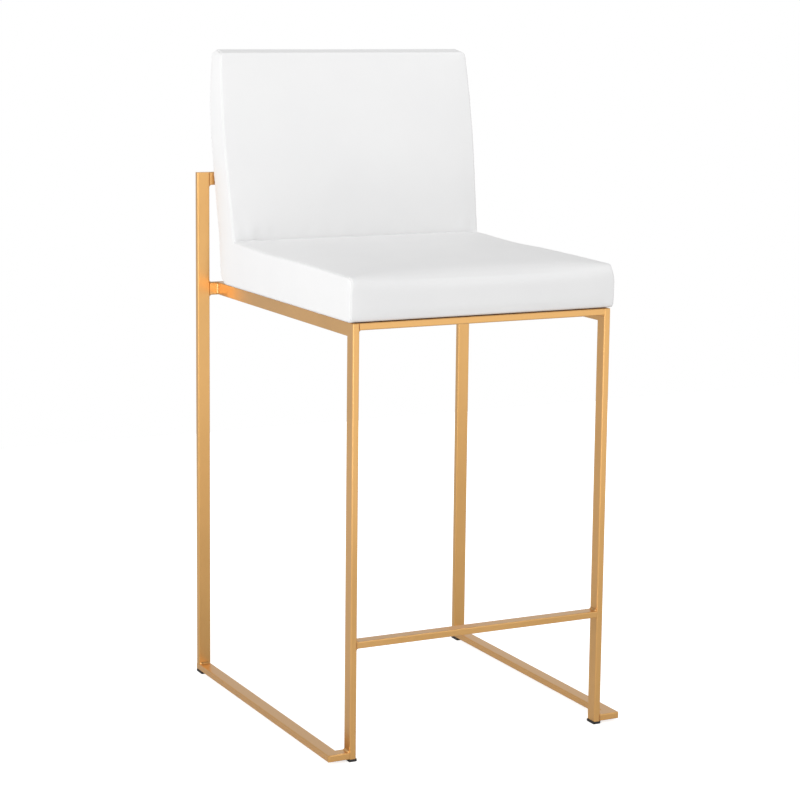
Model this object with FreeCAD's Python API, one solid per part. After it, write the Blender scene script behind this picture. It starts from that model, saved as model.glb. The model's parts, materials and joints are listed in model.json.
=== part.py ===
import FreeCAD, Part
import math
import os

# Counter stool with a footrest bar: a welded frame of flat rectangular steel tube that
# carries one L-shaped upholstered seat and back.  Everything is fixed; nothing moves.
# The front faces -Y, +X is to the right when looking at the front, +Z is up.
# The origin is the centre of the bounding box, on the floor.

Vector = FreeCAD.Vector

# Driving dimensions, mm
frame_width = 460.0           # outside the back legs and the floor rails
seat_frame_width = 396.0      # outside the front legs and the seat rails
frame_depth = 478.0           # front of the front legs to the rear of the back legs
seat_frame_top = 600.0
back_leg_top = 764.0
footrest_top = 167.0
tube_wide = 19.0              # long side of the tube's section
tube_thin = 9.5               # short side of the tube's section
tube_wall = 1.2
tube_radius = 1.5             # outside corner radius of the section
corner_radius = 3.0           # rounded mitre corners
glide_height = 4.0
cushion_width = 408.0
cushion_overhang = 3.0        # cushion's front face ahead of the front legs
cushion_top_front = 662.0     # seat's height along its front edge
crease_offset = 396.0         # front leg face to the crease between seat and back
crease_height = 669.0
back_top = 948.0              # top rear corner, before its edge is rounded
front_lean = math.radians(10.4)
rear_lean = math.radians(8.2)
rear_bend_height = 862.0      # the rear face is upright above this height
cover_thickness = 1.2
dust_cover_thickness = 0.6
sheet_inset = 20.0            # dust cover's edges in from the cushion's sides, front and rear
sheet_front_inset = 12.0
sheet_rear_inset = 22.5
board_thickness = 12.0
board_margin = 14.0           # foam round the edges of the two boards
rear_pad_thickness = 5.0
flange_width = 30.0           # cover turned under the seat board
foam_gap = 0.3                # between the back cushion and the cross rail
front_edge_radius = 14.0      # seat's top front edge
top_slope = 7.0               # top of the back, lower along its front edge
back_front_radius = 6.0       # top front edge of the back
back_rear_radius = 11.0       # top rear edge of the back

# Bolts, screws and staples, mm
bolt_radius = 3.0
bolt_head_radius = 5.5
bolt_head_height = 3.3
socket_width = 4.0
socket_floor = 1.2            # metal left under a bolt's socket
bolt_clearance = 0.3
insert_radius = 5.0
insert_length = 11.0
seat_bolt_length = 16.0
back_bolt_length = 26.0
back_bolt_spacing = 140.0
tab_length = 34.0
tab_width = 25.0
tab_thickness = 2.5
tab_hole_radius = 3.4
tab_inset = 60.0              # front seat rail to the front tabs' holes
rear_tab_inset = 80.0         # rear seat rail to the rear tabs' holes
washer_radius = 6.5
washer_thickness = 1.2
bracket_thickness = 3.0
bracket_width = 25.0
bracket_leg = 55.0
bracket_spacing = 240.0
screw_radius = 2.0
screw_head_radius = 4.0
screw_head_height = 2.2
screw_depth = 9.0
recess_depth = 0.9            # driver recess in a screw's head
staple_crown = 11.0
staple_wire = 0.6
staple_leg = 6.0
staple_pitch = 42.0
staple_inset = 6.0            # staples in from the seat rails
weld_size = 2.6
glide_stud_radius = 2.5

# Places worked out from the driving dimensions
cover_bottom = seat_frame_top + dust_cover_thickness
board_bottom = cover_bottom + cover_thickness
board_top = board_bottom + board_thickness
rear_contact_offset = frame_depth - tube_thin - foam_gap
rear_offset = rear_contact_offset + (rear_bend_height - back_leg_top) * math.tan(rear_lean)
total_depth = rear_offset + cushion_overhang
front_y = cushion_overhang - total_depth / 2     # front face of the front legs
rear_y = front_y + frame_depth                   # rear face of the back legs
inner_rear_y = rear_y - tube_thin                # front face of the back legs
half_frame = frame_width / 2
half_seat = seat_frame_width / 2
half_cushion = cushion_width / 2
half_inside = half_cushion - cover_thickness
rail_top = glide_height + tube_thin
crease_y = front_y + crease_offset

SIDES = {"left": -1, "right": 1}
nodes = {}


def box(x0, x1, y0, y1, z0, z1):
    """A block between two corners."""
    low = Vector(min(x0, x1), min(y0, y1), min(z0, z1))
    return Part.makeBox(abs(x1 - x0), abs(y1 - y0), abs(z1 - z0), low)


def long_edges(solid, axis):
    """The straight edges of a block that run along one axis."""
    found = []
    for edge in solid.Edges:
        step = edge.Vertexes[1].Point - edge.Vertexes[0].Point
        if abs(abs(step.normalize().dot(axis)) - 1) < 1e-6:
            found.append(edge)
    return found


def bar(corners, axis, radius):
    """A block whose four edges along the axis are rounded."""
    solid = box(*corners)
    return solid.makeFillet(radius, long_edges(solid, axis))


def tube(x0, x1, y0, y1, z0, z1, axis):
    """Rectangular tube along one axis, open at both ends."""
    low = [min(x0, x1), min(y0, y1), min(z0, z1)]
    high = [max(x0, x1), max(y0, y1), max(z0, z1)]
    outside = bar((low[0], high[0], low[1], high[1], low[2], high[2]), axis, tube_radius)
    for k, along in enumerate(axis):
        shift = -1.0 if abs(along) > 0.5 else tube_wall
        low[k] += shift
        high[k] -= shift
    inside_radius = max(tube_radius - tube_wall, 0.4)
    inside = bar((low[0], high[0], low[1], high[1], low[2], high[2]), axis, inside_radius)
    return outside.cut(inside)


def prism_yz(points, x0, x1):
    """A closed outline in the YZ plane, carried from x0 to x1."""
    corners = [Vector(x0, y, z) for y, z in points]
    face = Part.Face(Part.makePolygon(corners + corners[:1]))
    return face.extrude(Vector(x1 - x0, 0, 0))


def prism_xy(points, z0, z1):
    """A closed outline in the XY plane, carried from z0 to z1."""
    corners = [Vector(x, y, z0) for x, y in points]
    face = Part.Face(Part.makePolygon(corners + corners[:1]))
    return face.extrude(Vector(0, 0, z1 - z0))


def corner_cutter(corner, inward_a, inward_b, axis, radius, length):
    """What rounding a square corner takes away: a square minus a quarter round."""
    end = corner + axis * length
    square = Part.makePolygon([corner, corner + inward_a * radius,
                               corner + (inward_a + inward_b) * radius,
                               corner + inward_b * radius, corner])
    block = Part.Face(square).extrude(end - corner)
    centre = corner + (inward_a + inward_b) * radius
    return block.cut(Part.makeCylinder(radius, length, centre, axis))


def rounded_wire(points, x):
    """A closed outline in the YZ plane; each point has its own corner radius."""
    count = len(points)
    edges = []
    starts = []
    ends = []
    middles = []
    for k in range(count):
        here = Vector(x, points[k][0], points[k][1])
        before = Vector(x, points[k - 1][0], points[k - 1][1])
        after = Vector(x, points[(k + 1) % count][0], points[(k + 1) % count][1])
        to_before = (before - here).normalize()
        to_after = (after - here).normalize()
        half_angle = to_before.getAngle(to_after) / 2
        reach = points[k][2] / math.tan(half_angle)
        starts.append(here + to_before * reach)
        ends.append(here + to_after * reach)
        to_centre = (to_before + to_after).normalize()
        rise = points[k][2] / math.sin(half_angle) - points[k][2]
        middles.append(here + to_centre * rise)
    for k in range(count):
        edges.append(Part.Arc(starts[k], middles[k], ends[k]).toShape())
        edges.append(Part.LineSegment(ends[k], starts[(k + 1) % count]).toShape())
    return Part.Wire(edges)


def rear_line(z, inset=0.0):
    """Y of the leaning rear face at height z, moved inward by inset."""
    outer = front_y + rear_contact_offset - (back_leg_top - z) * math.tan(rear_lean)
    return outer - inset / math.cos(rear_lean)


def back_legs_and_floor_rails():
    """Each side: an upright back leg standing on a flat rail along the floor."""
    for side, s in SIDES.items():
        x_in = s * (half_frame - tube_wide)
        x_out = s * half_frame
        cap_bottom = back_leg_top - tube_wall
        nodes[side + "_back_leg"] = tube(x_in, x_out, inner_rear_y, rear_y, rail_top, cap_bottom,
                                         Vector(0, 0, 1))
        leg_cap = bar((x_in, x_out, inner_rear_y, rear_y, cap_bottom, back_leg_top),
                      Vector(0, 0, 1), tube_radius)
        nodes[side + "_back_leg_cap"] = leg_cap
        rail = tube(x_in, x_out, front_y, rear_y - tube_wall, glide_height, rail_top, Vector(0, 1, 0))
        deep = front_y + tube_wide
        back = tube(s * half_seat, x_out, front_y, deep, glide_height, rail_top, Vector(1, 0, 0))
        outer_corner = Vector(x_out, front_y, glide_height - 1)
        mitre_start = (x_out + s, front_y - 1)
        mitre_end = (x_in - s, deep + 1)
        ahead = prism_xy([mitre_start, mitre_end, (x_in - s, front_y - 1)], 0, rail_top + 1)
        beside = prism_xy([mitre_start, mitre_end, (x_out + s, deep + 1)], 0, rail_top + 1)
        rounding = corner_cutter(outer_corner, Vector(-s, 0, 0), Vector(0, 1, 0), Vector(0, 0, 1),
                                 corner_radius, tube_thin + 2)
        nodes[side + "_floor_rail"] = rail.cut(ahead).cut(rounding)
        nodes[side + "_front_return"] = back.cut(beside).cut(rounding)
        cap_y = rear_y - tube_wall
        nodes[side + "_floor_rail_cap"] = bar((x_in, x_out, cap_y, rear_y, glide_height, rail_top),
                                              Vector(0, 1, 0), tube_radius)


def front_legs_and_side_rails():
    """Each side: a front leg mitred into the seat's side rail."""
    top_corner_y = front_y + tube_wide
    low_corner_z = seat_frame_top - tube_wide
    for side, s in SIDES.items():
        x_in = s * (half_seat - tube_thin)
        x_out = s * half_seat
        leg = tube(x_in, x_out, front_y, top_corner_y, glide_height, seat_frame_top, Vector(0, 0, 1))
        rail = tube(x_in, x_out, front_y, inner_rear_y, low_corner_z, seat_frame_top, Vector(0, 1, 0))
        above = prism_yz([(front_y - 1, seat_frame_top + 1), (top_corner_y + 1, low_corner_z - 1),
                          (top_corner_y + 1, seat_frame_top + 1)], x_in - s, x_out + s)
        below = prism_yz([(front_y - 1, seat_frame_top + 1), (top_corner_y + 1, low_corner_z - 1),
                          (front_y - 1, low_corner_z - 1)], x_in - s, x_out + s)
        corner = Vector(min(x_in, x_out) - 1, front_y, seat_frame_top)
        rounding = corner_cutter(corner, Vector(0, 1, 0), Vector(0, 0, -1), Vector(1, 0, 0),
                                 tube_radius, tube_thin + 2)
        nodes[side + "_front_leg"] = leg.cut(above).cut(rounding)
        nodes[side + "_seat_rail"] = rail.cut(below).cut(rounding)


def cross_members():
    """The bars that run from side to side."""
    along = Vector(1, 0, 0)
    span = half_seat - tube_thin
    rear_span = half_frame - tube_wide
    deep = front_y + tube_wide
    nodes["front_seat_rail"] = tube(-span, span, front_y, deep,
                                    seat_frame_top - tube_thin, seat_frame_top, along)
    nodes["footrest_bar"] = tube(-span, span, front_y, deep,
                                 footrest_top - tube_thin, footrest_top, along)
    nodes["rear_seat_rail"] = tube(-rear_span, rear_span, inner_rear_y, rear_y,
                                   seat_frame_top - tube_wide, seat_frame_top, along)
    cross = tube(-rear_span, rear_span, inner_rear_y, rear_y,
                 back_leg_top - tube_wide, back_leg_top, along)
    hole_radius = bolt_radius + bolt_clearance
    for x in back_bolt_places():
        start = Vector(x, inner_rear_y - 1, back_leg_top - tube_wide / 2)
        cross = cross.cut(Part.makeCylinder(hole_radius, tube_thin + 2, start, Vector(0, 1, 0)))
    nodes["back_cross_rail"] = cross


def seat_tab_places():
    """Centre of each tab's hole: name, x, y."""
    reach = half_seat - tube_thin - tab_length + tab_width / 2
    rows = {"front": front_y + tube_wide + tab_inset, "rear": inner_rear_y - rear_tab_inset}
    return [(row + "_" + side, s * reach, y) for row, y in rows.items() for side, s in SIDES.items()]


def seat_tabs():
    """Four drilled plates welded inside the side rails, which the seat board is bolted to."""
    for name, x, y in seat_tab_places():
        s = math.copysign(1, x)
        plate = box(s * (half_seat - tube_thin), s * (half_seat - tube_thin - tab_length),
                    y - tab_width / 2, y + tab_width / 2, seat_frame_top - tab_thickness, seat_frame_top)
        inner_end = [edge for edge in long_edges(plate, Vector(0, 0, 1))
                     if abs(edge.CenterOfMass.x) < half_seat - tube_thin - 1]
        plate = plate.makeFillet(tab_width * 0.3, inner_end)
        hole_start = Vector(x, y, seat_frame_top - tab_thickness - 1)
        hole = Part.makeCylinder(tab_hole_radius, tab_thickness + 2, hole_start)
        nodes[name + "_seat_tab"] = plate.cut(hole)


def weld_bead(start, along, length, side_a, side_b):
    """A fillet weld in the corner between two faces: a wedge carried along the joint."""
    outline = Part.makePolygon([start, start + side_a * weld_size, start + side_b * weld_size, start])
    return Part.Face(outline).extrude(along * length)


def weld_beads():
    """The fillet welds at every joint, as one group of separate beads."""
    beads = []
    x_axis = Vector(1, 0, 0)
    y_axis = Vector(0, 1, 0)
    z_axis = Vector(0, 0, 1)
    for s in SIDES.values():
        inward = x_axis * -s
        outward = x_axis * s
        leg_x = s * (half_frame - tube_wide)
        seat_x = s * half_seat
        seat_in = s * (half_seat - tube_thin)
        deep = front_y + tube_wide
        wide_run = tube_wide - 2 * tube_radius
        thin_run = tube_thin - 2 * tube_radius
        # back leg on the floor rail
        beads.append(weld_bead(Vector(leg_x + s * tube_radius, inner_rear_y, rail_top), outward, wide_run,
                               y_axis * -1, z_axis))
        # return piece against the front leg
        beads.append(weld_bead(Vector(seat_x, front_y + tube_radius, rail_top), y_axis, wide_run,
                               outward, z_axis))
        beads.append(weld_bead(Vector(seat_x, deep, glide_height + tube_radius), z_axis, thin_run,
                               outward, y_axis))
        # inside corner of the mitred floor corner
        beads.append(weld_bead(Vector(leg_x, deep, glide_height + tube_radius), z_axis, thin_run,
                               inward, y_axis))
        # inside corner between the seat's side rail and the front leg
        beads.append(weld_bead(Vector(seat_in + s * tube_radius, deep, seat_frame_top - tube_wide), outward,
                               thin_run, y_axis, z_axis * -1))
        # front rail and footrest bar against the leg's inner face
        for top in (seat_frame_top, footrest_top):
            beads.append(weld_bead(Vector(seat_in, front_y + tube_radius, top - tube_thin), y_axis,
                                   wide_run, inward, z_axis * -1))
        beads.append(weld_bead(Vector(seat_in, front_y + tube_radius, footrest_top), y_axis, wide_run,
                               inward, z_axis))
        # side rail against the rear seat rail, outside and inside
        low = seat_frame_top - tube_wide + tube_radius
        beads.append(weld_bead(Vector(seat_x, inner_rear_y, low), z_axis, wide_run, outward, y_axis * -1))
        beads.append(weld_bead(Vector(seat_in, inner_rear_y, low), z_axis, wide_run, inward, y_axis * -1))
        # rear seat rail and cross rail against the back leg
        beads.append(weld_bead(Vector(leg_x, inner_rear_y + tube_radius, seat_frame_top), y_axis, thin_run,
                               inward, z_axis))
        for top in (seat_frame_top, back_leg_top):
            beads.append(weld_bead(Vector(leg_x, inner_rear_y + tube_radius, top - tube_wide), y_axis,
                                   thin_run, inward, z_axis * -1))
    for name, x, y in seat_tab_places():
        s = math.copysign(1, x)
        start = Vector(s * (half_seat - tube_thin), y - tab_width / 2 + 2, seat_frame_top - tab_thickness)
        beads.append(weld_bead(start, y_axis, tab_width - 4, x_axis * -s, z_axis * -1))
    nodes["weld_beads"] = Part.makeCompound(beads)


def glides():
    """Plastic feet: plugs in the open front legs, studded pads under the rails' rear ends."""
    chamfer = 0.8
    up = Vector(0, 0, 1)
    plug_inset = tube_wall + 0.1
    plug_wide = tube_thin - 2 * plug_inset
    plug_height = 14.0
    flange_half = tube_thin / 2 + 1
    for side, s in SIDES.items():
        x = s * (half_seat - tube_thin / 2)
        deep = front_y + tube_wide
        flange = box(x - flange_half, x + flange_half, front_y, deep, 0, glide_height)
        plug = bar((x - plug_wide / 2, x + plug_wide / 2, front_y + plug_inset, deep - plug_inset,
                    glide_height, glide_height + plug_height), up, 0.6)
        nodes["front_" + side + "_glide"] = chamfered_foot(flange, chamfer).fuse(plug)
        x = s * (half_frame - tube_wide / 2)
        y = rear_y - tube_wide / 2
        half = tube_wide / 2
        pad = box(x - half, x + half, y - half, y + half, 0, glide_height)
        stud = Part.makeCylinder(glide_stud_radius, tube_wall + 3, Vector(x, y, glide_height), up)
        nodes["rear_" + side + "_glide"] = chamfered_foot(pad, chamfer).fuse(stud)
        hole = Part.makeCylinder(glide_stud_radius, tube_wall + 1, Vector(x, y, glide_height - 0.5), up)
        nodes[side + "_floor_rail"] = nodes[side + "_floor_rail"].cut(hole)


def chamfered_foot(solid, size):
    """Breaks the edges round a foot's underside."""
    low_edges = [edge for edge in solid.Edges if edge.BoundBox.ZMax < 1e-6]
    return solid.makeChamfer(size, low_edges)


def cushion_outline():
    """Side view of the upholstery, going round from the front bottom corner: y, z, radius."""
    top_front = back_top - top_slope
    top_front_y = crease_y + (top_front - crease_height) * math.tan(front_lean)
    rear_top_y = front_y + rear_offset
    return [(front_y - cushion_overhang, cover_bottom, 5),
            (front_y - cushion_overhang, cushion_top_front, front_edge_radius),
            (crease_y, crease_height, 3),
            (top_front_y, top_front, back_front_radius),
            (rear_top_y, back_top, back_rear_radius),
            (rear_top_y, rear_bend_height, 60),
            (rear_line(cover_bottom), cover_bottom, 24)]


def boards():
    """Two plywood boards, bolted together by brackets, that the upholstery is built on."""
    half = half_cushion - board_margin
    foot_y = rear_line(board_top, cover_thickness + rear_pad_thickness)
    nodes["seat_board"] = box(-half, half, front_y + board_margin / 2, foot_y, board_bottom, board_top)
    top_z = back_top - board_margin
    rear = cover_thickness + rear_pad_thickness
    outline = [(rear_line(board_top, rear), board_top),
               (rear_line(board_top, rear + board_thickness), board_top),
               (rear_line(top_z, rear + board_thickness), top_z),
               (rear_line(top_z, rear), top_z)]
    upright = rear_line(rear_bend_height, rear)
    limit = box(-half, half, front_y, upright, 0, back_top)
    nodes["back_board"] = prism_yz(outline, -half, half).common(limit)


def upright_direction():
    """Up along the back board."""
    return Vector(0, math.sin(rear_lean), math.cos(rear_lean))


def round_rim(head, face, outward, height, share):
    """Rounds a head's outer rim by a share of its height."""
    rim = [edge for edge in head.Edges if (edge.CenterOfMass - face).dot(outward) > height - 0.01]
    return head.makeFillet(height * share, rim)


def brackets_and_screws():
    """Two bent steel brackets in the corner between the boards, with four screws each."""
    screws = []
    up = upright_direction()
    forward = Vector(0, -math.cos(rear_lean), math.sin(rear_lean))
    heel_y = rear_line(board_top, cover_thickness + rear_pad_thickness + board_thickness)
    heel = Vector(0, heel_y, board_top)
    for side, s in SIDES.items():
        x = s * bracket_spacing / 2
        lower = heel + Vector(0, -bracket_leg, 0)
        upper = heel + up * bracket_leg
        # the two inner faces meet here, each one thickness away from its board
        inner_y = heel.y + bracket_thickness * (math.tan(rear_lean) - 1 / math.cos(rear_lean))
        upper_face = upper + forward * bracket_thickness
        outline = [(heel.y, heel.z), (lower.y, lower.z), (lower.y, lower.z + bracket_thickness),
                   (inner_y, heel.z + bracket_thickness), (upper_face.y, upper_face.z), (upper.y, upper.z)]
        plate = prism_yz(outline, x - bracket_width / 2, x + bracket_width / 2)
        for reach in (bracket_leg * 0.45, bracket_leg * 0.8):
            for base, outward in ((heel + Vector(x, -reach, 0), Vector(0, 0, 1)),
                                  (heel + Vector(x, 0, 0) + up * reach, forward)):
                face = base + outward * bracket_thickness
                shank = Part.makeCylinder(screw_radius, screw_depth + bracket_thickness, face, outward * -1)
                head = Part.makeCylinder(screw_head_radius, screw_head_height, face, outward)
                head = round_rim(head, face, outward, screw_head_height, 0.45)
                recess = Part.makeCylinder(screw_head_radius * 0.55, screw_head_height,
                                           face + outward * (screw_head_height - recess_depth), outward)
                screws.append(head.cut(recess).fuse(shank))
                plate = plate.cut(shank)
                for board in ("seat_board", "back_board"):
                    nodes[board] = nodes[board].cut(shank)
        nodes[side + "_bracket"] = plate
    nodes["bracket_screws"] = Part.makeCompound(screws)


def bolt(face, outward, length):
    """Button-head bolt: the head stands on the face, the shank runs the other way."""
    head = Part.makeCylinder(bolt_head_radius, bolt_head_height, face, outward)
    head = round_rim(head, face, outward, bolt_head_height, 0.6)
    across = Vector(1, 0, 0)
    other = outward.cross(across)
    corners = []
    for k in range(6):
        angle = math.radians(60 * k)
        reach = socket_width / math.sqrt(3)
        point = (across * math.cos(angle) + other * math.sin(angle)) * reach
        corners.append(face + outward * socket_floor + point)
    socket = Part.Face(Part.makePolygon(corners + corners[:1])).extrude(outward * bolt_head_height)
    shank = Part.makeCylinder(bolt_radius, length, face, outward * -1)
    return head.cut(socket).fuse(shank)


def ring(face, outward, outer, inner, height):
    """A flat round collar with a hole."""
    disc = Part.makeCylinder(outer, height, face, outward)
    return disc.cut(Part.makeCylinder(inner, height + 2, face - outward, outward))


def back_bolt_places():
    """X of each bolt through the cross rail."""
    return [-back_bolt_spacing, 0.0, back_bolt_spacing]


def fasteners():
    """Bolts, washers and threaded inserts that hold the cushion to the frame."""
    down = Vector(0, 0, -1)
    up = Vector(0, 0, 1)
    bore = bolt_radius + 0.05
    seat_bolts = []
    washers = []
    seat_inserts = []
    for name, x, y in seat_tab_places():
        under_tab = Vector(x, y, seat_frame_top - tab_thickness)
        washers.append(ring(under_tab, down, washer_radius, bolt_radius + bolt_clearance,
                            washer_thickness))
        seat_bolts.append(bolt(under_tab + down * washer_thickness, down, seat_bolt_length))
        start = Vector(x, y, board_bottom)
        seat_inserts.append(ring(start, up, insert_radius, bore, insert_length))
        hole = Part.makeCylinder(insert_radius, board_thickness + 2, start - up)
        nodes["seat_board"] = nodes["seat_board"].cut(hole)
    nodes["seat_bolts"] = Part.makeCompound(seat_bolts)
    nodes["seat_washers"] = Part.makeCompound(washers)
    nodes["seat_insert_nuts"] = Part.makeCompound(seat_inserts)
    back_bolts = []
    back_inserts = []
    backward = Vector(0, 1, 0)
    bolt_z = back_leg_top - tube_wide / 2
    insert_y = rear_line(bolt_z, cover_thickness + rear_pad_thickness) - 0.8
    for x in back_bolt_places():
        back_bolts.append(bolt(Vector(x, rear_y, bolt_z), backward, back_bolt_length))
        start = Vector(x, insert_y, bolt_z)
        back_inserts.append(ring(start, backward * -1, insert_radius, bore, insert_length))
        hole_start = start + backward * board_thickness / 2
        hole = Part.makeCylinder(insert_radius, board_thickness * 2, hole_start, backward * -1)
        nodes["back_board"] = nodes["back_board"].cut(hole)
    nodes["back_bolts"] = Part.makeCompound(back_bolts)
    nodes["back_insert_nuts"] = Part.makeCompound(back_inserts)


def cover_and_foam():
    """Five sewn cover panels round three foam blocks."""
    outer_face = Part.Face(rounded_wire(cushion_outline(), -half_inside))
    inner_wire = rounded_wire(cushion_outline(), -half_inside).makeOffset2D(-cover_thickness)
    span = Vector(2 * half_inside, 0, 0)
    whole = outer_face.extrude(span)
    inside = Part.Face(inner_wire).extrude(span)
    nodes["seat_board"] = nodes["seat_board"].common(inside)
    shell = whole.cut(inside)
    flange_front = front_y - cushion_overhang + flange_width
    flange_rear = rear_line(cover_bottom) - flange_width
    shell = shell.cut(box(-half_cushion, half_cushion, flange_front, flange_rear,
                          cover_bottom - 1, board_bottom + 0.001))
    # the cover is split along lines through the crease and through the back's top rear edge
    far = 40.0
    near = 15.0
    inner_y = crease_y + 5
    crease_out = (crease_y - far, crease_height + far)
    crease_in = (inner_y, crease_height - 5)
    rear_top = front_y + rear_offset
    seat_zone = prism_yz([(front_y - far, 0), (front_y - far, crease_height + far), crease_out,
                          crease_in, (inner_y, 0)], -half_cushion, half_cushion)
    back_zone = prism_yz([crease_out, crease_in, (rear_top - near, back_top - near),
                          (rear_top + far, back_top + far), (crease_y - far, back_top + far)],
                         -half_cushion, half_cushion)
    nodes["seat_cover_panel"] = shell.common(seat_zone)
    nodes["back_front_panel"] = shell.common(back_zone)
    nodes["back_rear_panel"] = shell.cut(seat_zone).cut(back_zone)
    for side, s in SIDES.items():
        sheet = outer_face.extrude(Vector(cover_thickness, 0, 0))
        sheet.translate(Vector(2 * half_inside if s > 0 else -cover_thickness, 0, 0))
        flange = box(s * half_inside, s * (half_inside - flange_width), flange_front, flange_rear,
                     cover_bottom, board_bottom)
        nodes[side + "_side_panel"] = sheet.fuse(flange)
    rear = cover_thickness + rear_pad_thickness
    high = back_top + far
    upright_y = rear_line(rear_bend_height, rear)
    ahead_of_rear_pad = prism_yz([(front_y - far, 0), (rear_line(0, rear), 0),
                                  (upright_y, rear_bend_height), (upright_y, high),
                                  (front_y - far, high)], -half_cushion, half_cushion)
    hardware = [nodes[name] for name in ("seat_board", "back_board", "left_bracket", "right_bracket",
                                         "bracket_screws", "seat_insert_nuts", "back_insert_nuts")]
    front_foam = inside.common(ahead_of_rear_pad)
    seat_part = front_foam.common(box(-half_cushion, half_cushion, front_y - far, rear_y,
                                      0, crease_height))
    back_part = front_foam.common(box(-half_cushion, half_cushion, front_y, rear_y + far,
                                      crease_height, high))
    nodes["seat_foam"] = cut_all(seat_part, hardware)
    nodes["back_foam"] = cut_all(back_part, hardware)
    rear_part = inside.cut(ahead_of_rear_pad)
    nodes["back_rear_pad"] = cut_all(rear_part, [nodes["seat_board"], nodes["back_board"]])
    bolt_z = back_leg_top - tube_wide / 2
    forward = Vector(0, -1, 0)
    hole_reach = back_bolt_length + board_thickness
    for x in back_bolt_places():
        start = Vector(x, rear_y, bolt_z)
        path = Part.makeCylinder(bolt_radius + bolt_clearance, hole_reach, start, forward)
        nodes["back_rear_panel"] = nodes["back_rear_panel"].cut(path)
        nodes["back_rear_pad"] = nodes["back_rear_pad"].cut(path)
        wide_path = Part.makeCylinder(insert_radius, hole_reach, start, forward)
        nodes["back_foam"] = nodes["back_foam"].cut(wide_path)
    for name, x, y in seat_tab_places():
        path = Part.makeCylinder(insert_radius, board_thickness + 4, Vector(x, y, board_bottom - 1))
        nodes["seat_foam"] = nodes["seat_foam"].cut(path)


def cut_all(solid, tools):
    """Takes several solids away from one."""
    for tool in tools:
        solid = solid.cut(tool)
    return solid


def dust_cover_and_staples():
    """Black fabric under the seat, stapled through the turned-under cover into the board."""
    half = half_cushion - sheet_inset
    front = front_y + sheet_front_inset
    rear = rear_line(cover_bottom) - sheet_rear_inset
    sheet = box(-half, half, front, rear, seat_frame_top, cover_bottom)
    clear = staple_crown
    staples = []
    rows = []
    x_row = half_seat - tube_thin - staple_inset
    front_row = front_y + tube_wide + staple_inset
    rear_row = rear - staple_inset / 2
    count_x = int(2 * (x_row - clear) / staple_pitch)
    for k in range(count_x + 1):
        x = -(x_row - clear) + k * 2 * (x_row - clear) / count_x
        rows.append((x, front_row, Vector(1, 0, 0)))
        rows.append((x, rear_row, Vector(1, 0, 0)))
    run = rear_row - front_row - 2 * clear
    count_y = int(run / staple_pitch)
    for k in range(count_y + 1):
        y = front_row + clear + k * run / count_y
        if all(abs(y - tab_y) > tab_width / 2 + clear for name, tab_x, tab_y in seat_tab_places()):
            rows.append((-x_row, y, Vector(0, 1, 0)))
            rows.append((x_row, y, Vector(0, 1, 0)))
    for x, y, along in rows:
        staples.append(staple(Vector(x, y, seat_frame_top), along))
    group = Part.makeCompound(staples)
    for name in ("seat_cover_panel", "back_rear_panel", "left_side_panel", "right_side_panel",
                 "seat_board", "seat_foam"):
        nodes[name] = nodes[name].cut(group)
    for name, x, y in seat_tab_places():
        sheet = sheet.cut(Part.makeCylinder(insert_radius, 4, Vector(x, y, seat_frame_top - 2)))
    nodes["dust_cover"] = sheet.cut(group)
    nodes["staples"] = group


def staple(centre, along):
    """One flat wire staple, crown down, legs up into the board."""
    across = Vector(0, 0, 1).cross(along)
    half = staple_crown / 2
    wire = staple_wire
    inner = half - wire
    corners = [(-half, -wire), (half, -wire), (half, staple_leg), (inner, staple_leg),
               (inner, 0), (-inner, 0), (-inner, staple_leg), (-half, staple_leg)]
    points = [centre + along * a + Vector(0, 0, b) - across * wire / 2 for a, b in corners]
    return Part.Face(Part.makePolygon(points + points[:1])).extrude(across * wire)


back_legs_and_floor_rails()
front_legs_and_side_rails()
cross_members()
seat_tabs()
glides()
boards()
brackets_and_screws()
fasteners()
cover_and_foam()
dust_cover_and_staples()
weld_beads()

os.makedirs("parts", exist_ok=True)
for name, shape in nodes.items():
    if not shape.isValid():
        print("not valid:", name)
    shape.exportStep("parts/" + name + ".step")
whole_box = Part.makeCompound(list(nodes.values())).BoundBox
print(len(nodes), "nodes, box", whole_box)
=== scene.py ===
import json
import math

import bpy
import bmesh
import numpy as np
from mathutils import Matrix, Vector, noise
from mathutils.kdtree import KDTree


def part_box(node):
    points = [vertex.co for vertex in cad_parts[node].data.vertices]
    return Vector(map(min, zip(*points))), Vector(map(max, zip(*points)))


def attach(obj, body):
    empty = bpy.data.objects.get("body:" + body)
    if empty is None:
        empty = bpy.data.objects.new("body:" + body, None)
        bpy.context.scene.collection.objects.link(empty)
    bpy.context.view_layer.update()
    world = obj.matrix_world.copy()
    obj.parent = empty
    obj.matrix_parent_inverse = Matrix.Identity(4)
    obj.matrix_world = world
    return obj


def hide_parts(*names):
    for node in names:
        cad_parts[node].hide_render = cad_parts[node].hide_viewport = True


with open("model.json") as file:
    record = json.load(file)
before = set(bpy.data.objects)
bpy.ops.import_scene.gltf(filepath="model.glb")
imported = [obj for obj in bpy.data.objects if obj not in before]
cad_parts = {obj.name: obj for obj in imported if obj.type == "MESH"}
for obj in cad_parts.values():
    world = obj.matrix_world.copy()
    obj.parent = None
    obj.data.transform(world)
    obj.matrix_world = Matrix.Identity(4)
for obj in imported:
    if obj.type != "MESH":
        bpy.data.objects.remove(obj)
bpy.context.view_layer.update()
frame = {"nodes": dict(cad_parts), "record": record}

BODY = "root"

# ---------------------------------------------------------------- places read from the frame
front_leg_low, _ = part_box("left_front_leg")
cross_low, cross_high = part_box("back_cross_rail")
side_low, side_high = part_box("left_side_panel")
_, dust_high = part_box("dust_cover")

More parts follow.
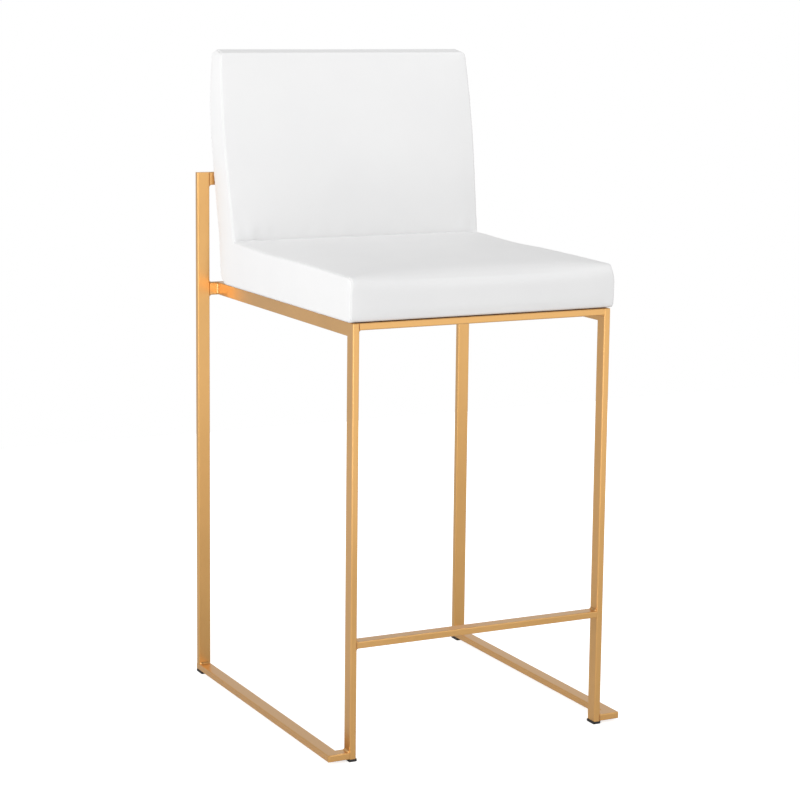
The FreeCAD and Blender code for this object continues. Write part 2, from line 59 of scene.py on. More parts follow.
FRONT = front_leg_low.y              # front faces of the front legs
CUSHION_HALF = -side_low.x
CUSHION_FRONT = side_low.y
CUSHION_REAR = side_high.y
CUSHION_TOP = side_high.z
COVER_BOTTOM = dust_high.z
RAIL_LOW, RAIL_HIGH = cross_low.z, cross_high.z     # the back rests against this rail

# ---------------------------------------------------------------- cushion's own sizes, metres
SEAT_EDGE_Z = 0.661                  # top edge of the seat's front face
CREASE_Y = FRONT + 0.396
CREASE_Z = 0.668
BACK_TOP_Z = 0.948                   # top rear corner, before its edge is rounded
TOP_SLOPE = 0.007                    # the back's top is lower along its front edge
FRONT_LEAN = math.radians(10.4)
REAR_LEAN = math.radians(8.2)
REAR_BEND_Z = 0.862                  # the rear face is upright above this height
INSET = 0.0015                       # the cover starts this much smaller, then swells
SEAM_ROUND = 0.0018                  # rounding across the sewn edges

EDGE_SEGMENTS = 18                   # grid segments along the front, and along the top
SEAT_SEGMENTS = 76                   # along the seat, and along the bottom
BACK_SEGMENTS = 56                   # along the back's front, and along the rear
ACROSS_POINTS = 67                   # between the two rounded edges
ROUNDING_DEGREES = (15, 30, 45, 60, 75, 90)
SEAM_COLUMN = 3                      # the seam runs along the middle of the rounding

BACK_BOW = 0.0042                    # how far the sewn edges bow out along the back
SEAT_BOW = 0.0006                    # the same on the seat's sides
TOP_TUCK = 0.0045                    # how far the back's top corners are drawn in
FRONT_TUCK = 0.004                   # the same at the seat's front corners
SEAT_SAG = 0.0028                    # dip of the seat's sewn edges near the back

SWELL_ALL = 0.0020                   # how far the cover may stand out, wherever nothing else is said
SWELL_SEAT_TOP = 0.0050              # more on top of the seat
SWELL_BACK_FRONT = 0.0022            # more on the front of the back
SWELL_REAR = 0.0022
SWELL_SIDE = 0.0015
LEAST_SWELL = 1e-5                   # where the cover rests on something

SWELL_FRAMES = 20                    # length of the cloth simulation
HELD_AT_SEAM = 0.0022                # the cover is held this close to a seam
HELD_AT_CREASE = 0.0018              # and this close to the crease

SEAM_GROOVE, SEAM_GROOVE_WIDTH = 0.0015, 0.0011
CREASE_GROOVE, CREASE_GROOVE_WIDTH = 0.0015, 0.0015
GATHER_DEPTH, GATHER_REACH = 0.0007, 0.011
PLEAT_DEPTH = 0.0028


# ---------------------------------------------------------------- small node helpers
def new_material(name):
    """An empty node material with a Principled shader joined to its output."""
    mat = bpy.data.materials.new(name)
    mat.use_nodes = True
    tree = mat.node_tree
    tree.nodes.clear()
    out = tree.nodes.new("ShaderNodeOutputMaterial")
    shader = tree.nodes.new("ShaderNodeBsdfPrincipled")
    tree.links.new(shader.outputs["BSDF"], out.inputs["Surface"])
    return mat, tree, shader


def node(tree, kind, **inputs):
    """Adds a node; attribute values and socket values are given by name."""
    made = tree.nodes.new(kind)
    for key, value in inputs.items():
        if hasattr(made, key):
            setattr(made, key, value)
        else:
            made.inputs[key.replace("_", " ")].default_value = value
    return made


def object_coordinates(tree):
    """Position on the piece, in metres."""
    return node(tree, "ShaderNodeTexCoord").outputs["Object"]


def noise_texture(tree, scale, detail=3.0, roughness=0.5):
    made = node(tree, "ShaderNodeTexNoise", Scale=scale, Detail=detail, Roughness=roughness)
    tree.links.new(object_coordinates(tree), made.inputs["Vector"])
    return made.outputs["Fac"]


def remap(tree, value, low, high, new_low, new_high):
    made = node(tree, "ShaderNodeMapRange")
    for key, number in (("From Min", low), ("From Max", high), ("To Min", new_low), ("To Max", new_high)):
        made.inputs[key].default_value = number
    tree.links.new(value, made.inputs["Value"])
    return made.outputs["Result"]


def blend_colours(tree, value, low, high):
    """A colour that goes from low to high as value goes from 0 to 1."""
    ramp = node(tree, "ShaderNodeValToRGB")
    ramp.color_ramp.elements[0].color = (*low, 1)
    ramp.color_ramp.elements[1].color = (*high, 1)
    tree.links.new(value, ramp.inputs["Fac"])
    return ramp.outputs["Color"]


def add_bump(tree, shader, height, strength, distance, before=None):
    made = node(tree, "ShaderNodeBump", Strength=strength, Distance=distance)
    tree.links.new(height, made.inputs["Height"])
    if before is not None:
        tree.links.new(before, made.inputs["Normal"])
    tree.links.new(made.outputs["Normal"], shader.inputs["Normal"])
    return made.outputs["Normal"]


# ---------------------------------------------------------------- materials
def gold_paint():
    mat, tree, shader = new_material("gold_paint")
    patch = noise_texture(tree, 9.0, 4.0)
    flake = noise_texture(tree, 2600.0, 1.0)
    tone = node(tree, "ShaderNodeMath", operation="ADD")
    tree.links.new(remap(tree, patch, 0.3, 0.7, 0.0, 0.6), tone.inputs[0])
    tree.links.new(remap(tree, flake, 0.35, 0.65, 0.0, 0.4), tone.inputs[1])
    colour = blend_colours(tree, tone.outputs["Value"], (0.79, 0.44, 0.146), (0.85, 0.485, 0.172))
    tree.links.new(colour, shader.inputs["Base Color"])
    shader.inputs["Metallic"].default_value = 0.95
    shader.inputs["Coat Weight"].default_value = 0.5
    shader.inputs["Coat Roughness"].default_value = 0.2
    tree.links.new(remap(tree, patch, 0.3, 0.7, 0.28, 0.35), shader.inputs["Roughness"])
    orange_peel = noise_texture(tree, 420.0, 2.0)
    normal = add_bump(tree, shader, orange_peel, 0.10, 0.0003)
    add_bump(tree, shader, flake, 0.05, 0.0001, normal)
    return mat


def white_leather():
    mat, tree, shader = new_material("white_leather")
    coords = object_coordinates(tree)
    cells = node(tree, "ShaderNodeTexVoronoi", feature="DISTANCE_TO_EDGE", Scale=620.0)
    tree.links.new(coords, cells.inputs["Vector"])
    grain = remap(tree, cells.outputs["Distance"], 0.0, 0.12, 0.0, 1.0)
    pores = noise_texture(tree, 2400.0, 2.0)
    cloud = noise_texture(tree, 6.0, 3.0)
    tone = remap(tree, cloud, 0.3, 0.7, 0.0, 1.0)
    colour = blend_colours(tree, tone, (0.815, 0.815, 0.818), (0.84, 0.84, 0.84))
    tree.links.new(colour, shader.inputs["Base Color"])
    tree.links.new(remap(tree, pores, 0.3, 0.7, 0.50, 0.62), shader.inputs["Roughness"])
    shader.inputs["IOR"].default_value = 1.45
    normal = add_bump(tree, shader, grain, 0.18, 0.00025)
    add_bump(tree, shader, pores, 0.10, 0.0001, normal)
    return mat


def black_plastic():
    mat, tree, shader = new_material("black_plastic")
    speck = noise_texture(tree, 1500.0, 2.0)
    colour = blend_colours(tree, speck, (0.012, 0.012, 0.012), (0.03, 0.03, 0.03))
    tree.links.new(colour, shader.inputs["Base Color"])
    tree.links.new(remap(tree, speck, 0.3, 0.7, 0.5, 0.65), shader.inputs["Roughness"])
    add_bump(tree, shader, speck, 0.25, 0.0002)
    return mat


def plain_metal(name, low, high, roughness, metallic):
    """Zinc plating or black oxide: fine speckle in the colour and the gloss."""
    mat, tree, shader = new_material(name)
    speck = noise_texture(tree, 700.0, 3.0)
    tree.links.new(blend_colours(tree, speck, low, high), shader.inputs["Base Color"])
    shader.inputs["Metallic"].default_value = metallic
    gloss = remap(tree, speck, 0.3, 0.7, roughness - 0.07, roughness + 0.07)
    tree.links.new(gloss, shader.inputs["Roughness"])
    add_bump(tree, shader, speck, 0.08, 0.0001)
    return mat


def plywood():
    mat, tree, shader = new_material("plywood")
    coords = object_coordinates(tree)
    stretch = node(tree, "ShaderNodeMapping")
    stretch.inputs["Scale"].default_value = (90.0, 6.0, 90.0)
    tree.links.new(coords, stretch.inputs["Vector"])
    fibre = node(tree, "ShaderNodeTexNoise", Scale=1.0, Detail=5.0, Roughness=0.6)
    tree.links.new(stretch.outputs["Vector"], fibre.inputs["Vector"])
    colour = blend_colours(tree, fibre.outputs["Fac"], (0.42, 0.27, 0.14), (0.66, 0.49, 0.30))
    tree.links.new(colour, shader.inputs["Base Color"])
    shader.inputs["Roughness"].default_value = 0.75
    add_bump(tree, shader, fibre.outputs["Fac"], 0.2, 0.0003)
    return mat


def dust_fabric():
    mat, tree, shader = new_material("dust_fabric")
    fibres = noise_texture(tree, 900.0, 6.0, 0.7)
    colour = blend_colours(tree, fibres, (0.012, 0.012, 0.013), (0.05, 0.05, 0.052))
    tree.links.new(colour, shader.inputs["Base Color"])
    shader.inputs["Roughness"].default_value = 0.95
    add_bump(tree, shader, fibres, 0.5, 0.0004)
    return mat


def give_materials(materials):
    """Every CAD node gets the finish of its slot; the foam has none, because the cushion replaces it."""
    slots = {row["node"]: row["material_slot"] for row in frame["record"]["subparts"]}
    for name, piece in frame["nodes"].items():
        mat = materials.get(slots[name])
        if mat is None:
            continue
        for slot in piece.material_slots:
            slot.material = mat
        if not piece.material_slots:
            piece.data.materials.append(mat)


# ---------------------------------------------------------------- the cushion
def rounded_path(points, step):
    """A closed outline with rounded corners as a fine polyline, and each corner's middle point's index."""
    line = []
    middles = []
    count = len(points)
    for k in range(count):
        here = np.array(points[k][:2])
        to_before = np.array(points[k - 1][:2]) - here
        to_after = np.array(points[(k + 1) % count][:2]) - here
        to_before /= np.linalg.norm(to_before)
        to_after /= np.linalg.norm(to_after)
        half = math.acos(float(np.clip(to_before @ to_after, -1, 1))) / 2
        radius = points[k][2]
        start = here + to_before * radius / math.tan(half)
        inward = (to_before + to_after) / np.linalg.norm(to_before + to_after)
        centre = here + inward * radius / math.sin(half)
        first = math.atan2(*(start - centre)[::-1])
        cross = to_before[0] * to_after[1] - to_before[1] * to_after[0]
        turn = math.copysign(math.pi - 2 * half, -cross)
        steps = 2 * max(3, int(radius * abs(turn) / step / 2))
        middles.append(len(line) + steps // 2)
        for j in range(steps + 1):
            angle = first + turn * j / steps
            line.append(centre + radius * np.array((math.cos(angle), math.sin(angle))))
    return np.array(line), middles


def spread(line, segments, finer_first, finer_last):
    """The line's points, spaced again into segments that are finer towards its ends."""
    lengths = np.concatenate([[0], np.cumsum(np.linalg.norm(np.diff(line, axis=0), axis=1))])
    t = (np.arange(segments) + 0.5) / segments
    density = 1 + (finer_first - 1) * np.exp(-t * 9) + (finer_last - 1) * np.exp(-(1 - t) * 9)
    places = np.concatenate([[0], np.cumsum(1 / density)])
    places *= lengths[-1] / places[-1]
    return np.column_stack([np.interp(places, lengths, line[:, k]) for k in (0, 1)])


def cushion_stretches():
    """The side outline as six stretches of y, z rows: front, seat, back, top, rear and bottom."""
    top_front_z = BACK_TOP_Z - TOP_SLOPE - INSET
    top_front = CREASE_Y + (top_front_z - CREASE_Z) * math.tan(FRONT_LEAN)
    rear_bottom = CUSHION_REAR - (REAR_BEND_Z - COVER_BOTTOM) * math.tan(REAR_LEAN)
    # each corner's y, z and rounding radius
    corners = [(CUSHION_FRONT + INSET, COVER_BOTTOM, 0.007),          # front, bottom
               (CUSHION_FRONT + INSET, SEAT_EDGE_Z, 0.014),           # front, top of the seat
               (CREASE_Y, CREASE_Z, 0.001),                           # crease
               (top_front, top_front_z, 0.005),                       # top of the back, front
               (CUSHION_REAR - INSET, BACK_TOP_Z - INSET, 0.011),     # top of the back, rear
               (CUSHION_REAR - INSET, REAR_BEND_Z, 0.060),            # bend in the rear face
               (rear_bottom, COVER_BOTTOM, 0.020)]                    # rear, bottom
    line, middles = rounded_path(corners, 0.0005)

    def stretch(a, b):
        first, last = middles[a], middles[b]
        return line[first:last + 1] if last > first else np.concatenate([line[first:], line[:last + 1]])

    return [spread(stretch(0, 1), EDGE_SEGMENTS, 2.0, 2.5),
            spread(stretch(1, 2), SEAT_SEGMENTS, 2.5, 3.0),
            spread(stretch(2, 3), BACK_SEGMENTS, 3.0, 2.5),
            spread(stretch(3, 4), EDGE_SEGMENTS, 1.3, 1.3),
            spread(stretch(4, 6), BACK_SEGMENTS, 2.5, 1.5),
            spread(stretch(6, 0), SEAT_SEGMENTS, 1.5, 2.0)]


def inward_normals(loop):
    """Unit vectors pointing into the outline at each of its points."""
    along = np.roll(loop, -1, axis=0) - np.roll(loop, 1, axis=0)
    along /= np.linalg.norm(along, axis=1)[:, None]
    return np.column_stack([along[:, 1], -along[:, 0]])


def columns_across():
    """Across the cushion: x, and how far the surface is inset there, rounded at the sewn edges."""
    flat = CUSHION_HALF - INSET - SEAM_ROUND
    # slightly closer together towards the edges
    middle = [(flat * (1.05 * t - 0.05 * t ** 3), 0.0) for t in np.linspace(-1, 1, ACROSS_POINTS)]
    edge = []
    for degrees in ROUNDING_DEGREES:
        angle = math.radians(degrees)
        edge.append((flat + SEAM_ROUND * math.sin(angle), SEAM_ROUND * (1 - math.cos(angle))))
    return [(-x, inset) for x, inset in reversed(edge)] + middle + edge


def cushion_grid():
    """A closed grid of the whole L-shaped cushion: points, faces, and the point numbers of the two seams."""
    front, seat, back, top, rear, bottom = cushion_stretches()
    loop = np.concatenate([part[:-1] for part in (front, seat, back, top, rear, bottom)])
    normals = inward_normals(loop)
    columns = columns_across()
    around, across = len(loop), len(columns)
    points = [np.column_stack([np.full(around, x), loop + normals * inset]) for x, inset in columns]
    faces = []
    for c in range(across - 1):
        for k in range(around):
            n = (k + 1) % around
            faces.append((c * around + k, c * around + n, (c + 1) * around + n, (c + 1) * around + k))
    # the sides are filled between the seat-and-back stretches and the rear-and-bottom stretches
    deep = len(front) - 1
    long = len(seat) + len(back) - 2
    total = around * across
    for c in (0, across - 1):
        ring = points[c]
        low_path = [(2 * deep + 2 * long - i) % around for i in range(long + 1)]
        high_path = [deep + i for i in range(long + 1)]
        last_path = [deep + long + deep - j for j in range(deep + 1)]
        number = np.zeros((long + 1, deep + 1), int)
        number[:, 0], number[:, deep] = low_path, high_path
        number[0, :], number[long, :] = range(deep + 1), last_path
        number += c * around
        extra = []
        for i in range(1, long):
            for j in range(1, deep):
                s, t = i / long, j / deep
                point = ring[low_path[i]] * (1 - t) + ring[high_path[i]] * t
                point = point + (1 - s) * (ring[j] - ring[0] * (1 - t) - ring[deep] * t)
                first, last = ring[last_path[0]], ring[last_path[deep]]
                point = point + s * (ring[last_path[j]] - first * (1 - t) - last * t)
                number[i, j] = total + len(extra)
                extra.append(point)
        total += len(extra)
        points.append(np.array(extra))
        for i in range(long):
            for j in range(deep):
                quad = (number[i, j], number[i + 1, j], number[i + 1, j + 1], number[i, j + 1])
                faces.append(tuple(int(v) for v in (quad if c else reversed(quad))))
    seams = [c * around + k for c in (SEAM_COLUMN, across - 1 - SEAM_COLUMN) for k in range(around)]
    return np.concatenate(points), faces, seams


def smooth_step(value, low, high):
    t = np.clip((value - low) / (high - low), 0, 1)
    return t * t * (3 - 2 * t)


def read_points(mesh):
    flat = np.empty(len(mesh.vertices) * 3)
    mesh.vertices.foreach_get("co", flat)
    return flat.reshape(-1, 3)


def read_normals(mesh):
    flat = np.empty(len(mesh.vertices) * 3)
    mesh.vertices.foreach_get("normal", flat)
    return flat.reshape(-1, 3)


def write_points(mesh, points):
    mesh.vertices.foreach_set("co", np.ascontiguousarray(points).ravel())
    mesh.update()


def make_object(name, points, faces, mat, smooth=True):
    mesh = bpy.data.meshes.new(name)
    mesh.from_pydata([tuple(p) for p in points], [], [tuple(f) for f in faces])
    mesh.materials.append(mat)
    made = bpy.data.objects.new(name, mesh)
    bpy.context.scene.collection.objects.link(made)
    if smooth:
        mesh.shade_smooth()
    return made


def face_outward(piece):
    made = bmesh.new()
    made.from_mesh(piece.data)
    bmesh.ops.recalc_face_normals(made, faces=made.faces)
    made.to_mesh(piece.data)
    made.free()


def bow_edges(points):
    """The sewn edges bow out between the corners, and the top corners are rounded."""
    x, y, z = points.T.copy()
    outer = (np.abs(x) / CUSHION_HALF) ** 4
    up_back = np.clip((z - CREASE_Z) / (CUSHION_TOP - CREASE_Z), 0, 1)
    bow = BACK_BOW * np.sin(math.pi * up_back ** 1.25)
    along_seat = np.clip((y - CUSHION_FRONT) / (CREASE_Y - CUSHION_FRONT), 0, 1)
    on_seat = 1 - smooth_step(z, CREASE_Z - 0.01, CREASE_Z + 0.03)
    up_seat = np.clip((z - COVER_BOTTOM) / (SEAT_EDGE_Z - COVER_BOTTOM), 0, 1)
    bow += on_seat * SEAT_BOW * np.sin(math.pi * up_seat)
    bow -= TOP_TUCK * smooth_step(z, CUSHION_TOP - 0.014, CUSHION_TOP) ** 2
    at_front = 1 - smooth_step(y, CUSHION_FRONT - 0.001, CUSHION_FRONT + 0.016)
    bow -= on_seat * FRONT_TUCK * at_front * smooth_step(z, SEAT_EDGE_Z - 0.022, SEAT_EDGE_Z)
    near_back = np.exp(-((along_seat - 0.72) / 0.2) ** 2)
    sag = SEAT_SAG * near_back * smooth_step(z, SEAT_EDGE_Z - 0.03, SEAT_EDGE_Z)
    points = points.copy()
    points[:, 0] += np.sign(x) * bow * outer
    points[:, 2] -= on_seat * sag * outer
    return points


def distance_to(points, targets):
    """Each point's distance to the nearest of the targets."""
    tree = KDTree(len(targets))
    for k, target in enumerate(targets):
        tree.insert(target, k)
    tree.balance()
    return np.array([tree.find(p)[2] for p in points])


def swell_limits(points, normals):
    """How far each part of the cover may stand out: most on the seat, nothing where it rests."""
    y, z = points[:, 1], points[:, 2]
    side = np.abs(normals[:, 0]) ** 2
    seat_top = smooth_step(normals[:, 2], 0.5, 0.9) * (z < CREASE_Z + 0.02)
    back_front = smooth_step(-normals[:, 1], 0.6, 0.95) * (z > CREASE_Z)
    limit = SWELL_ALL + SWELL_SEAT_TOP * seat_top + SWELL_BACK_FRONT * back_front
    rear = smooth_step(normals[:, 1], 0.5, 0.9)
    limit = limit * (1 - rear) + SWELL_REAR * rear
    limit = limit * (1 - side) + SWELL_SIDE * side
    near_rail = 1 - smooth_step(np.abs(z - (RAIL_LOW + RAIL_HIGH) / 2), 0.016, 0.050)
    limit *= 1 - rear * near_rail
    limit *= smooth_step(z, COVER_BOTTOM + 0.001, COVER_BOTTOM + 0.012)
    return np.maximum(limit, LEAST_SWELL)


def swell(piece, held, limit):
    """A short cloth simulation under pressure; then no point has moved further than its limit."""
    base = read_points(piece.data)
    group = piece.vertex_groups.new(name="held")
    group.add([int(k) for k in np.nonzero(held)[0]], 1.0, "REPLACE")
    cloth = piece.modifiers.new("cover", "CLOTH")
    settings = cloth.settings
    settings.quality = 5
    settings.mass = 0.3
    settings.tension_stiffness = 20
    settings.compression_stiffness = 20
    settings.shear_stiffness = 6
    settings.bending_stiffness = 2.5
    settings.use_pressure = True
    settings.uniform_pressure_force = 7
    settings.vertex_group_mass = "held"
    settings.effector_weights.gravity = 0
    cloth.collision_settings.use_collision = False
    cloth.point_cache.frame_start = 1
    cloth.point_cache.frame_end = SWELL_FRAMES
    scene = bpy.context.scene
    for step in range(1, SWELL_FRAMES + 1):
        scene.frame_set(step)
    swollen = read_points(piece.evaluated_get(bpy.context.evaluated_depsgraph_get()).data)
    piece.modifiers.remove(cloth)
    piece.vertex_groups.remove(group)
    scene.frame_set(1)
    move = swollen - base
    size = np.maximum(np.linalg.norm(move, axis=1), 1e-9)
    write_points(piece.data, base + move * (limit * np.tanh(size / limit) / size)[:, None])


def subdivide(piece):
    """One level of smooth subdivision, applied to the mesh."""
    piece.modifiers.new("smooth", "SUBSURF").levels = 1
    finer = bpy.data.meshes.new_from_object(piece.evaluated_get(bpy.context.evaluated_depsgraph_get()))
    piece.modifiers.clear()
    piece.data = finer


def sewn_details(piece, seam_line):
    """Pulls the seams in, with small gathers beside them, and draws the crease in with soft puckers."""
    mesh = piece.data
    points, normals = read_points(mesh), read_normals(mesh)
    away = distance_to(points, seam_line)
    x, y, z = points.T
    gathers = np.array([noise.noise(Vector((a * 95, b * 40, c * 95))) for a, b, c in points])
    depth = -SEAM_GROOVE * np.exp(-(away / SEAM_GROOVE_WIDTH) ** 2)
    depth += GATHER_DEPTH * gathers * np.exp(-(away / GATHER_REACH)) * (1 - np.exp(-(away / 0.003)))
    to_crease = np.hypot(y - CREASE_Y, z - CREASE_Z)
    near_ends = 0.35 + 0.65 * smooth_step(np.abs(x), CUSHION_HALF * 0.55, CUSHION_HALF * 0.95)
    pleats = np.array([noise.noise(Vector((a * 55, 3.1, b * 12))) for a, b in zip(x, to_crease)])
    inner = 1 - smooth_step(np.abs(x), CUSHION_HALF - 0.012, CUSHION_HALF)
    depth -= CREASE_GROOVE * inner * np.exp(-(to_crease / CREASE_GROOVE_WIDTH) ** 2)
    depth += PLEAT_DEPTH * near_ends * inner * pleats * np.exp(-((to_crease - 0.008) / 0.014) ** 2)
    write_points(mesh, points + normals * depth[:, None])


def build_cushion(mat):
    points, faces, seams = cushion_grid()
    points = bow_edges(points)
    cushion = make_object("upholstery", points, faces, mat)
    face_outward(cushion)
    normals = read_normals(cushion.data)
    limit = swell_limits(points, normals)
    from_seam = distance_to(points, points[seams])
    strip = np.abs(points[:, 0]) < CUSHION_HALF - INSET - 0.0001
    to_crease = np.hypot(points[:, 1] - CREASE_Y, points[:, 2] - CREASE_Z) + np.where(strip, 0, 1)
    top_edge = points[:, 2] - (BACK_TOP_Z - TOP_SLOPE - INSET)
    at_top = (np.abs(top_edge) < 0.003) & (points[:, 1] < CUSHION_REAR - 0.02) & strip
    at_rest = limit < 2 * LEAST_SWELL
    held = (from_seam < HELD_AT_SEAM) | (to_crease < HELD_AT_CREASE) | at_rest | at_top
    swell(cushion, held, limit)
    seam_line = read_points(cushion.data)[seams]
    subdivide(cushion)
    sewn_details(cushion, seam_line)
    return cushion


# ---------------------------------------------------------------- weld beads
BEAD_STATION = 0.00035               # spacing of the bead's sections along the weld
BEAD_ARC = 9                         # steps across the bead's round face
BEAD_END = 0.0016                    # length over which a bead tapers at its ends
RIPPLE_PITCH = 0.0017
RIPPLE_LAG = 0.0007                  # ripples trail in chevrons


def bead_frames(welds):
    """Corner, direction, length and the two faces of every straight weld, read from its CAD wedge."""
    made = bmesh.new()
    made.from_mesh(welds.data)
    bmesh.ops.remove_doubles(made, verts=made.verts, dist=1e-6)
    left = set(made.verts)
    frames = []
    while left:
        island, stack = set(), [next(iter(left))]
        while stack:
            vert = stack.pop()
            if vert in island:
                continue
            island.add(vert)
            stack.extend(edge.other_vert(vert) for edge in vert.link_edges)
        left -= island
        spots = np.array([welds.matrix_world @ vert.co for vert in island])
        low, high = spots.min(axis=0), spots.max(axis=0)
        long = int(np.argmax(high - low))
        sides = [k for k in range(3) if k != long]
        # the wedge's square corner shares a coordinate with each of the other two
        best = None
        for a in (low[sides[0]], high[sides[0]]):
            for b in (low[sides[1]], high[sides[1]]):
                gap = np.abs(spots[:, sides] - (a, b)).sum(axis=1)
                opposite = np.abs(spots[:, sides] - (low[sides[0]] + high[sides[0]] - a,
                                                     low[sides[1]] + high[sides[1]] - b)).sum(axis=1)
                if gap.min() < 1e-6 and opposite.min() > 1e-4:
                    best = (a, b)
        corner = np.zeros(3)
        corner[long], corner[sides[0]], corner[sides[1]] = low[long], *best
        side_a, side_b, way = np.zeros(3), np.zeros(3), np.zeros(3)
        side_a[sides[0]] = low[sides[0]] + high[sides[0]] - 2 * best[0]
        side_b[sides[1]] = low[sides[1]] + high[sides[1]] - 2 * best[1]
        way[long] = high[long] - low[long]
        frames.append((corner, way, side_a, side_b))
    made.free()
    return sorted(frames, key=lambda row: tuple(np.round(row[0], 5)))


def build_welds(mat):
    """Fillet welds laid in overlapping ripples, painted over with the frame."""
    points, faces = [], []
    for number, (corner, way, side_a, side_b) in enumerate(bead_frames(frame["nodes"]["weld_beads"])):
        length = np.linalg.norm(way)
        stations = max(12, int(length / BEAD_STATION))
        first = len(points)
        for k in range(stations + 1):
            t = k / stations
            ends = min(1, math.sin(math.pi * min(1, (length * min(t, 1 - t) / BEAD_END + 0.15)) / 2))
            wander = noise.noise(Vector((t * length * 260, number * 3.7, 0.5)))
            for j in range(BEAD_ARC + 1):
                angle = math.pi / 2 * j / BEAD_ARC
                lag = RIPPLE_LAG * math.sin(2 * angle)
                ripple = abs(math.sin(math.pi * (t * length - lag) / RIPPLE_PITCH))
                swell_out = 0.80 + 0.20 * abs(math.cos(2 * angle))
                reach = ends * swell_out * (0.93 + 0.09 * ripple + 0.10 * wander)
                outward = side_a * math.cos(angle) + side_b * math.sin(angle)
                points.append(corner + way * t + outward * reach)
            points.append(corner + way * t)
        ring = BEAD_ARC + 2
        for k in range(stations):
            for j in range(ring):
                n = (j + 1) % ring
                base = first + k * ring
                faces.append((base + j, base + n, base + ring + n, base + ring + j))
        faces.append(tuple(first + j for j in range(ring)))
        faces.append(tuple(first + stations * ring + j for j in range(ring)))
    welds = make_object("weld_ripples", points, faces, mat)
    face_outward(welds)
    return welds


# ---------------------------------------------------------------- floor, light and camera
def floor():
    """A pale plain studio floor, lifted to white where it is seen directly."""
    mat, tree, shader = new_material("studio_floor")
    cloud = noise_texture(tree, 1.5, 2.0)
    colour = blend_colours(tree, cloud, (0.72, 0.72, 0.72), (0.74, 0.74, 0.74))
    tree.links.new(colour, shader.inputs["Base Color"])
    shader.inputs["Roughness"].default_value = 0.9
    shader.inputs["Specular IOR Level"].default_value = 0.1
    shader.inputs["Emission Color"].default_value = (1, 1, 1, 1)
    seen = node(tree, "ShaderNodeLightPath").outputs["Is Camera Ray"]
    tree.links.new(remap(tree, seen, 0.0, 1.0, 0.0, 0.75), shader.inputs["Emission Strength"])
    left, right, front, rear = -2.2, 2.2, -1.5, 2.0
    corners = [(left, front, 0), (right, front, 0), (right, rear, 0), (left, rear, 0)]
    made = make_object("studio_floor", corners, [(0, 1, 2, 3)], mat, smooth=False)


def area_light(name, place, target, size, power):
    """A white rectangular lamp at a place, facing its target."""
    data = bpy.data.lights.new(name, "AREA")
    data.shape = "RECTANGLE"
    data.size, data.size_y = size
    data.energy = power
    lamp = bpy.data.objects.new(name, data)
    bpy.context.scene.collection.objects.link(lamp)
    lamp.location = place
    lamp.rotation_mode = "QUATERNION"
    lamp.rotation_quaternion = (Vector(target) - Vector(place)).to_track_quat("-Z", "Y")


def strength_towards(tree, direction, aim, low, high, weak, strong):
    """Goes from weak to strong as the cosine of the angle to aim goes from low to high."""
    closeness = node(tree, "ShaderNodeVectorMath", operation="DOT_PRODUCT")
    tree.links.new(direction, closeness.inputs[0])
    closeness.inputs[1].default_value = Vector(aim).normalized()
    return remap(tree, closeness.outputs["Value"], low, high, weak, strong)


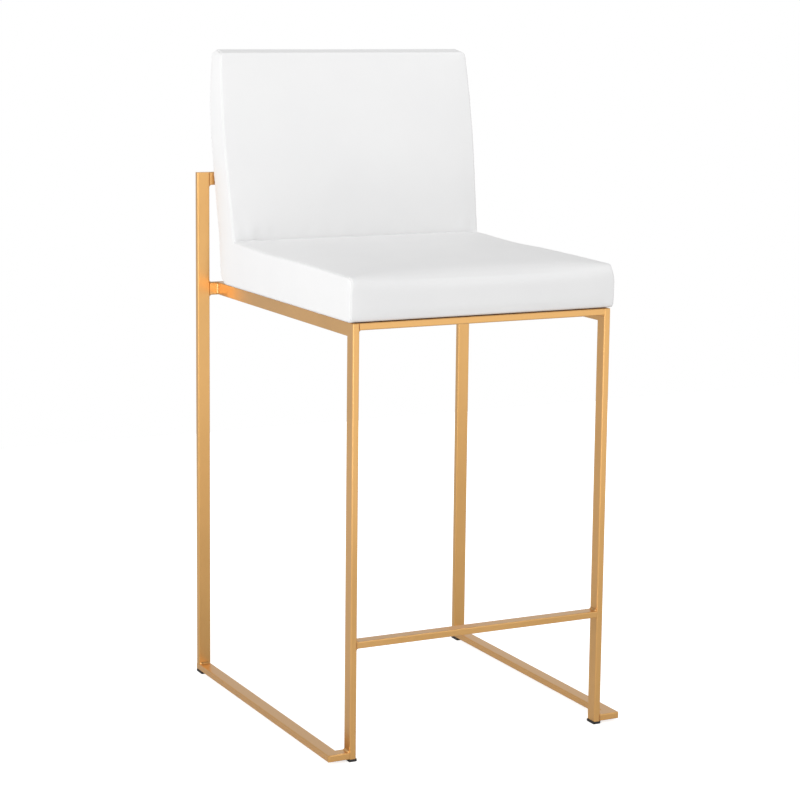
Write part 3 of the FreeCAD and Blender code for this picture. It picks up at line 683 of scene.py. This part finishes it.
def studio_light():
    """White backdrop, three lamps, and a room that lights the object most from in front, left and below."""
    world = bpy.data.worlds.new("studio")
    bpy.context.scene.world = world
    world.use_nodes = True
    tree = world.node_tree
    tree.nodes.clear()
    out = tree.nodes.new("ShaderNodeOutputWorld")
    backdrop = node(tree, "ShaderNodeBackground", Strength=1.0)
    backdrop.inputs["Color"].default_value = (1, 1, 1, 1)
    room = node(tree, "ShaderNodeBackground")
    room.inputs["Color"].default_value = (1, 1, 1, 1)
    direction = node(tree, "ShaderNodeTexCoord").outputs["Generated"]
    gradient = strength_towards(tree, direction, (-0.35, -1.0, -0.80), -1.0, 1.0, 0.38, 1.24)
    rear_patch = strength_towards(tree, direction, (0.50, 0.87, 0.16), 0.70, 0.95, 0.0, 0.22)
    strength = node(tree, "ShaderNodeMath", operation="ADD")
    tree.links.new(gradient, strength.inputs[0])
    tree.links.new(rear_patch, strength.inputs[1])
    tree.links.new(strength.outputs["Value"], room.inputs["Strength"])
    seen = node(tree, "ShaderNodeLightPath").outputs["Is Camera Ray"]
    mix = tree.nodes.new("ShaderNodeMixShader")
    tree.links.new(seen, mix.inputs["Fac"])
    tree.links.new(room.outputs["Background"], mix.inputs[1])
    tree.links.new(backdrop.outputs["Background"], mix.inputs[2])
    tree.links.new(mix.outputs["Shader"], out.inputs["Surface"])
    area_light("key", (-3.1, -0.1, 1.3), (0, 0, 0.6), (1.6, 1.6), 35)
    area_light("low", (-0.8, -1.7, 0.25), (0, -0.2, 0.62), (0.6, 0.3), 2.0)
    area_light("top", (0.9, -0.3, 2.6), (0, 0, 0.6), (0.5, 0.5), 8.0)


def camera():
    """Three-quarter view from the front left, from a little above the top of the back."""
    place = Vector((-1.4807, -2.9190, 1.0330))
    yaw, pitch, roll = (math.radians(a) for a in (26.776, 9.186, 0.642))
    look = Vector((math.sin(yaw) * math.cos(pitch), math.cos(yaw) * math.cos(pitch), -math.sin(pitch)))
    level = Vector((math.cos(yaw), -math.sin(yaw), 0))
    up = level.cross(look)
    right = level * math.cos(roll) + up * math.sin(roll)
    over = up * math.cos(roll) - level * math.sin(roll)
    data = bpy.data.cameras.new("camera")
    data.lens = 102.95
    data.sensor_width = 36
    data.shift_y = -0.05
    cam = bpy.data.objects.new("camera", data)
    bpy.context.scene.collection.objects.link(cam)
    cam.rotation_mode = "QUATERNION"
    cam.matrix_world = Matrix.Translation(place) @ Matrix((right, over, -look)).transposed().to_4x4()
    bpy.context.scene.camera = cam


bpy.context.scene.view_settings.view_transform = "Standard"
leather = white_leather()
gold = gold_paint()
finishes = {"gold_paint": gold,
            "white_leather": leather,
            "black_plastic": black_plastic(),
            "zinc_steel": plain_metal("zinc_steel", (0.45, 0.45, 0.44), (0.62, 0.62, 0.60), 0.4, 1.0),
            "black_screw": plain_metal("black_screw", (0.012, 0.012, 0.012), (0.03, 0.03, 0.03), 0.35, 0.6),
            "plywood": plywood(),
            "dust_fabric": dust_fabric()}
give_materials(finishes)
cushion = build_cushion(leather)
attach(cushion, BODY)
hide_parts("seat_cover_panel", "back_front_panel", "back_rear_panel", "left_side_panel",
            "right_side_panel", "seat_foam", "back_foam", "back_rear_pad")
welds = build_welds(gold)
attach(welds, BODY)
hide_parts("weld_beads")
studio_light()
floor()
camera()
